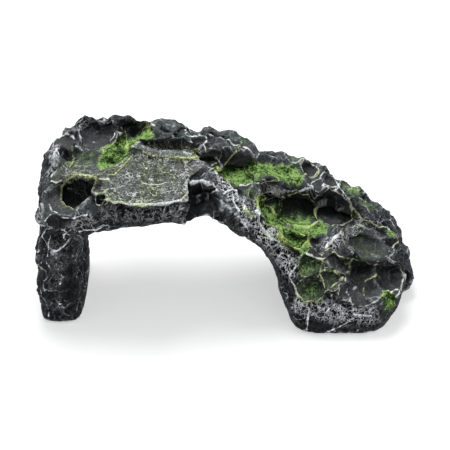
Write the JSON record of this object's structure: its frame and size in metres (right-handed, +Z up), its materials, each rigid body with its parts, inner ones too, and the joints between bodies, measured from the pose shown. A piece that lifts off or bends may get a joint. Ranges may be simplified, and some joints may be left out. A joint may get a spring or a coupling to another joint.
{
  "type": "aquarium cave ornament",
  "caption": "Cratered rock arch with a swim-through cave, moss in its hollows and foam pads under its feet.",
  "frame": {"origin": "on the ground, under the middle of the whole outline in length and depth", "axes": "+X along the arch towards the heavy foot, +Y to the back, +Z up"},
  "size_m": [0.2395, 0.112, 0.1028],
  "materials": {
    "cast_resin": "matte",
    "moss": "matte",
    "foam_pad": "matte"
  },
  "bodies": {
    "root": {"rock_arch": "cast_resin", "gully_moss": "moss", "saddle_hollow_moss": "moss", "saddle_slope_moss": "moss", "crater_left_moss": "moss", "crater_middle_moss": "moss", "sub_crater_moss": "moss", "foot_crater_moss": "moss", "left_front_pad": "foam_pad", "left_rear_pad": "foam_pad", "right_front_pad": "foam_pad", "right_outer_pad": "foam_pad", "right_rear_pad": "foam_pad"}
  },
  "joints": []
}
